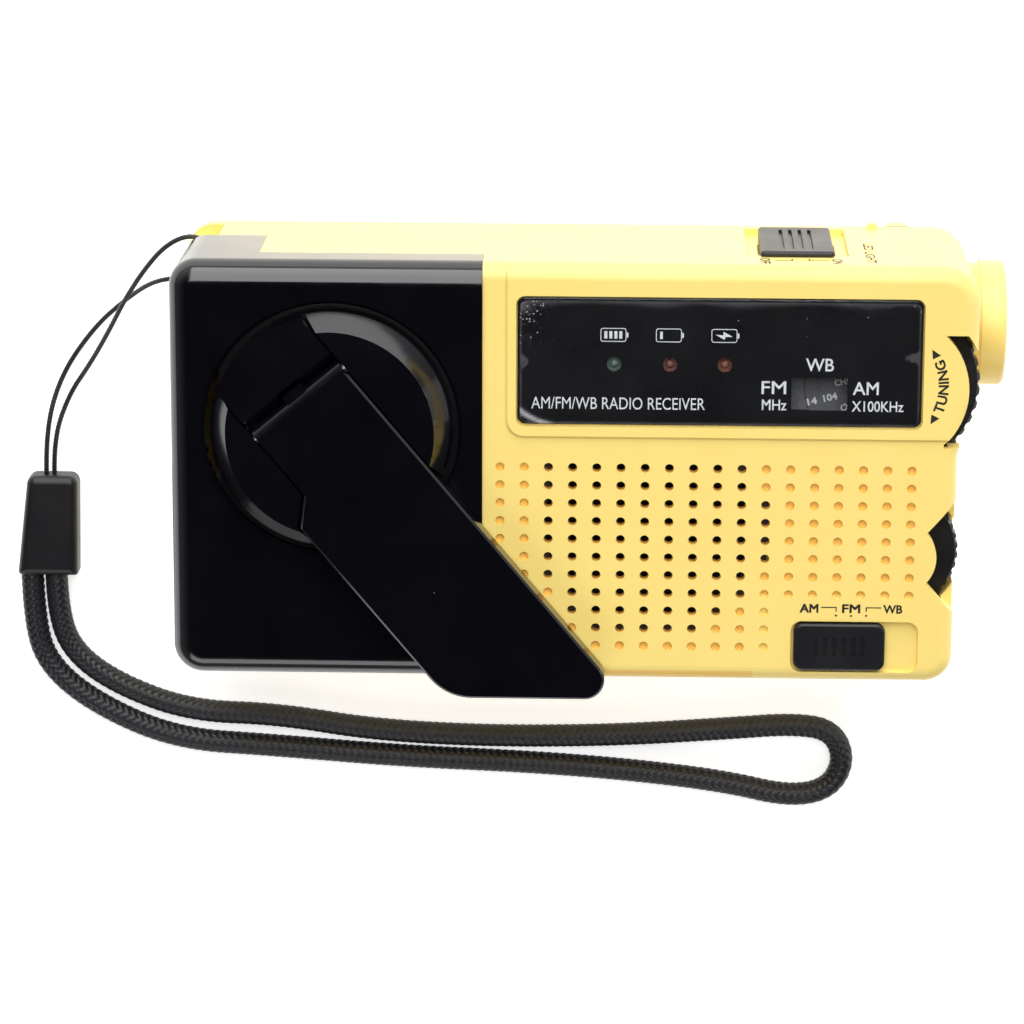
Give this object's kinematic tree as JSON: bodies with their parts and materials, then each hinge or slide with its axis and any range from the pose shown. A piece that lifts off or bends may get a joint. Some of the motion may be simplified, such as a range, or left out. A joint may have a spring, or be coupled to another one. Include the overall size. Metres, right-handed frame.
{
  "type": "emergency radio",
  "caption": "Hand-crank emergency radio with folding crank, side lamp, thumb-wheel tuning, slide switches, telescopic antenna and a looped wrist strap.",
  "frame": {"origin": "centre of the flat back face, on the surface the radio lies on", "axes": "+Z out of the front face, +X from the crank to the lamp, +Y towards the power switch"},
  "size_m": [0.17, 0.1062, 0.0472],
  "materials": {
    "yellow_plastic": "satin moulded plastic",
    "black_plastic": "satin-gloss moulded plastic",
    "black_matte": "matte moulded plastic",
    "clear_plastic": "polished clear acrylic",
    "display_print": "black printed film",
    "led_epoxy": "tinted epoxy",
    "chrome": "plated",
    "steel": "zinc plated",
    "brass": "turned",
    "board": "solder mask",
    "chip_epoxy": "moulded epoxy",
    "cone_paper": "doped paper",
    "ferrite": "sintered",
    "copper": "enamelled winding",
    "nylon": "moulded nylon",
    "cell_wrap": "shrink sleeve",
    "mirror_coat": "vacuum metallised",
    "braid": "braided polyester"
  },
  "bodies": {
    "root": {"front_shell": "yellow_plastic", "rear_shell": "yellow_plastic", "lamp_bezel": "yellow_plastic", "crank_housing": "black_plastic", "case_screws": "steel", "display_lens": "clear_plastic", "display_mask": "display_print", "indicator_leds": "led_epoxy", "lamp_lens": "clear_plastic", "lamp_reflector": "mirror_coat", "lamp_led": "clear_plastic", "main_board": "board", "board_chips": "chip_epoxy", "speaker_frame": "steel", "speaker_cone": "cone_paper", "speaker_magnet": "ferrite", "battery_cell": "cell_wrap", "battery_contacts": "steel", "ferrite_rod": "ferrite", "aerial_coil": "copper", "tuning_capacitor": "nylon", "volume_pot": "steel", "band_switch_case": "steel", "power_switch_case": "steel", "earphone_jack": "black_matte", "usb_socket": "steel", "generator_can": "steel", "gearbox_plate": "black_matte", "gearbox_cover": "black_matte", "crank_bush": "brass", "idler_pin": "steel", "gearbox_screws": "steel", "antenna_pivot": "steel", "strap_clip": "black_matte", "strap_cord": "braid", "strap_string": "braid"},
    "crank": {"crank_disc": "black_plastic", "crank_shaft": "steel", "crank_gear": "nylon", "crank_screw": "steel", "hinge_pin": "steel"},
    "arm": {"crank_arm": "black_plastic"},
    "idler": {"idler_gear": "nylon"},
    "generator": {"generator_rotor": "steel", "generator_pinion": "brass"},
    "tuning": {"tuning_wheel": "black_matte"},
    "volume": {"volume_wheel": "black_matte"},
    "band_knob": {"band_switch_knob": "black_matte"},
    "power_knob": {"power_switch_knob": "black_matte"},
    "door": {"battery_door": "yellow_plastic"},
    "antenna": {"antenna_base": "chrome"},
    "antenna_2": {"antenna_section_1": "chrome"},
    "antenna_3": {"antenna_section_2": "chrome"},
    "antenna_4": {"antenna_tip": "chrome"}
  },
  "joints": [
    {"name": "crank_spin", "type": "hinge", "parent": "root", "child": "crank", "pos_m": [-0.0382, 0.0067, 0.042], "axis": [0, 0, 1], "continuous": true},
    {"name": "crank_fold", "type": "hinge", "parent": "crank", "child": "arm", "pos_m": [-0.04257, 0.01191, 0.0452], "axis": [-0.766, -0.6428, 0], "range_deg": [0, 115]},
    {"name": "idler_spin", "type": "hinge", "parent": "root", "child": "idler", "pos_m": [-0.03063, -0.0166, 0.033], "axis": [0, 0, 1], "continuous": true},
    {"name": "generator_spin", "type": "hinge", "parent": "root", "child": "generator", "pos_m": [-0.04839, -0.00832, 0.02], "axis": [0, 0, 1], "continuous": true},
    {"name": "tuning_turn", "type": "hinge", "parent": "root", "child": "tuning", "pos_m": [0.0541, 0.0141, 0.035], "axis": [0, 0, 1], "range_deg": [-85, 85]},
    {"name": "volume_turn", "type": "hinge", "parent": "root", "child": "volume", "pos_m": [0.0557, -0.0144, 0.035], "axis": [0, 0, 1], "range_deg": [-120, 140]},
    {"name": "band_slide", "type": "slide", "parent": "root", "child": "band_knob", "axis": [1, 0, 0], "range_m": [0, 0.0052]},
    {"name": "power_slide", "type": "slide", "parent": "root", "child": "power_knob", "axis": [1, 0, 0], "range_m": [-0.002, 0.002]},
    {"name": "door_slide", "type": "slide", "parent": "root", "child": "door", "axis": [0, -1, 0], "range_m": [0, 0.015]},
    {"name": "antenna_swing", "type": "hinge", "parent": "root", "child": "antenna", "pos_m": [0.0562, 0.0322, 0.0026], "axis": [0, 0, -1], "range_deg": [0, 170]},
    {"name": "antenna_slide_1", "type": "slide", "parent": "antenna", "child": "antenna_2", "axis": [-1, 0, 0], "range_m": [0, 0.033]},
    {"name": "antenna_slide_2", "type": "slide", "parent": "antenna_2", "child": "antenna_3", "axis": [-1, 0, 0], "range_m": [0, 0.033]},
    {"name": "antenna_slide_3", "type": "slide", "parent": "antenna_3", "child": "antenna_4", "axis": [-1, 0, 0], "range_m": [0, 0.033]}
  ],
  "couplings": [
    {"joint": "idler_spin", "follows": "crank_spin", "ratio": -4},
    {"joint": "generator_spin", "follows": "crank_spin", "ratio": 12}
  ]
}
